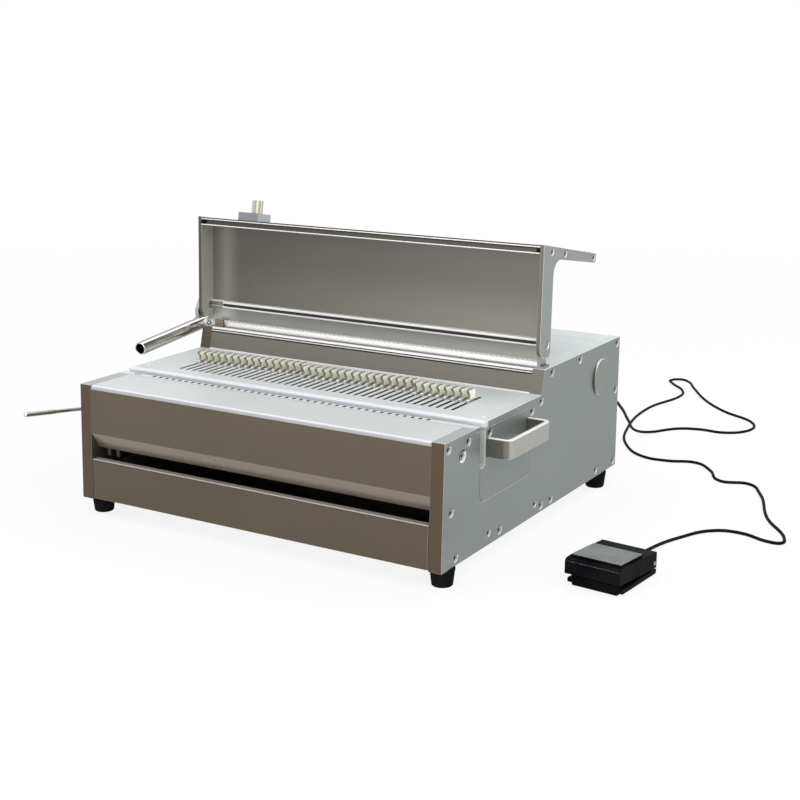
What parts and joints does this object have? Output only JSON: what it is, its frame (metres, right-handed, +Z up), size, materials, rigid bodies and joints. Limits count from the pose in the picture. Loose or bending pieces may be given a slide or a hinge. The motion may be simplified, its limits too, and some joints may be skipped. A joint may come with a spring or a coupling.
{
  "type": "die punching machine",
  "caption": "Electric paper punch with a slide-out die, comb-opening hooks on a hand lever, a swing lid, a chip drawer and a corded foot pedal.",
  "frame": {"origin": "on the floor plane, under the centre of the footprint of the two side plates", "axes": "+X to the operator's right, +Y to the back, +Z up"},
  "size_m": [0.675, 0.9461, 0.3051],
  "materials": {
    "aluminium": "satin anodised",
    "steel": "ground",
    "chrome": "polished",
    "brass_tint": "nickel plated",
    "cast_iron": "painted",
    "motor_paint": "satin",
    "ivory_plastic": "moulded",
    "black_plastic": "moulded",
    "black_rubber": "matt",
    "pad_rubber": "ribbed"
  },
  "bodies": {
    "frame": {"side_plate_left": "aluminium", "side_plate_right": "aluminium", "base_plate": "aluminium", "feet": "black_rubber", "front_cover": "aluminium", "slot_bar": "aluminium", "deck_nose": "aluminium", "deck_plate": "aluminium", "deck_screws": "steel", "riser_panel": "aluminium", "rear_cover": "aluminium", "rear_panel": "aluminium", "plate_screws": "steel", "blanking_cap": "aluminium", "power_inlet": "black_plastic", "switch_frame": "black_plastic", "cord_gland": "black_plastic", "die_rails": "steel", "carriage_rails": "steel", "beam_guides": "steel", "crank_bearings": "cast_iron", "gearbox": "cast_iron", "motor": "motor_paint", "shaft_bearings": "steel", "hinge_brackets": "steel", "hinge_pins": "steel", "pedal_base": "black_plastic", "pedal_pin": "steel", "cord": "black_rubber"},
    "rocker": {"switch_rocker": "black_plastic"},
    "drawer": {"drawer_front": "aluminium", "chip_tray": "steel"},
    "die": {"die_block": "steel", "die_end_plate": "aluminium", "die_handle": "aluminium", "die_screw": "steel"},
    "pins": {"pin_bar": "steel", "punch_pins": "steel"},
    "beam": {"press_beam": "steel"},
    "crank": {"crank_shaft": "steel"},
    "lever": {"lever_tube": "chrome", "lever_shaft": "chrome", "shaft_collar": "aluminium", "lever_bolt": "steel", "drive_arms": "steel"},
    "carriage": {"hook_carriage": "steel", "hooks_left": "ivory_plastic", "hooks_centre": "ivory_plastic", "hooks_right": "ivory_plastic"},
    "clamp": {"clamp_cam": "steel", "clamp_rod": "chrome"},
    "lid": {"lid_cheek_left": "aluminium", "lid_cheek_right": "aluminium", "lid_panel": "aluminium", "lid_shelf": "aluminium", "lid_screws": "steel"},
    "stop": {"paper_stop": "aluminium"},
    "knob": {"stop_knob": "brass_tint"},
    "treadle": {"pedal_treadle": "black_plastic", "pedal_pad": "pad_rubber"}
  },
  "joints": [
    {"name": "lid_hinge", "type": "hinge", "parent": "frame", "child": "lid", "pos_m": [0, 0.016, 0.1875], "axis": [1, 0, 0], "range_deg": [0, 92.4]},
    {"name": "stop_slide", "type": "slide", "parent": "lid", "child": "stop", "axis": [1, 0, 0], "range_m": [-0.01, 0.34]},
    {"name": "knob_turn", "type": "hinge", "parent": "stop", "child": "knob", "pos_m": [-0.16, 0.04321, 0.2915], "axis": [0, 0.1822, 0.9833], "range_deg": [0, 180]},
    {"name": "lever_swing", "type": "hinge", "parent": "frame", "child": "lever", "pos_m": [0, 0.022, 0.164], "axis": [-1, 0, 0], "range_deg": [0, 44.2]},
    {"name": "carriage_slide", "type": "slide", "parent": "frame", "child": "carriage", "axis": [0, -1, 0], "range_m": [0, 0.028]},
    {"name": "die_slide", "type": "slide", "parent": "frame", "child": "die", "axis": [1, 0, 0], "range_m": [0, 0.3]},
    {"name": "pins_stroke", "type": "slide", "parent": "die", "child": "pins", "axis": [0, -1, 0], "range_m": [0, 0.0093]},
    {"name": "beam_stroke", "type": "slide", "parent": "frame", "child": "beam", "axis": [0, -1, 0], "range_m": [0, 0.009]},
    {"name": "crank_turn", "type": "hinge", "parent": "frame", "child": "crank", "pos_m": [0, 0.078, 0.1], "axis": [1, 0, 0], "range_deg": [0, 184]},
    {"name": "clamp_swing", "type": "hinge", "parent": "frame", "child": "clamp", "pos_m": [-0.222, -0.097, 0.0957], "axis": [1, 0, 0], "range_deg": [0, 34]},
    {"name": "drawer_slide", "type": "slide", "parent": "frame", "child": "drawer", "axis": [0, -1, 0], "range_m": [0, 0.16]},
    {"name": "rocker_tilt", "type": "hinge", "parent": "frame", "child": "rocker", "pos_m": [-0.102, 0.194, 0.068], "axis": [1, 0, 0], "range_deg": [0, 16]},
    {"name": "treadle_press", "type": "hinge", "parent": "frame", "child": "treadle", "pos_m": [0.33348, -0.05661, 0.013], "axis": [0.9962, -0.0872, 0], "range_deg": [0, 5], "stiffness_Nm_per_rad": 1.5, "springref_deg": -4.58}
  ],
  "couplings": [
    {"joint": "lever_swing", "follows": "carriage_slide", "rad_per_m": 27.327},
    {"joint": "crank_turn", "follows": "beam_stroke", "rad_per_m": 349.07},
    {"joint": "pins_stroke", "follows": "beam_stroke", "ratio": 1}
  ]
}
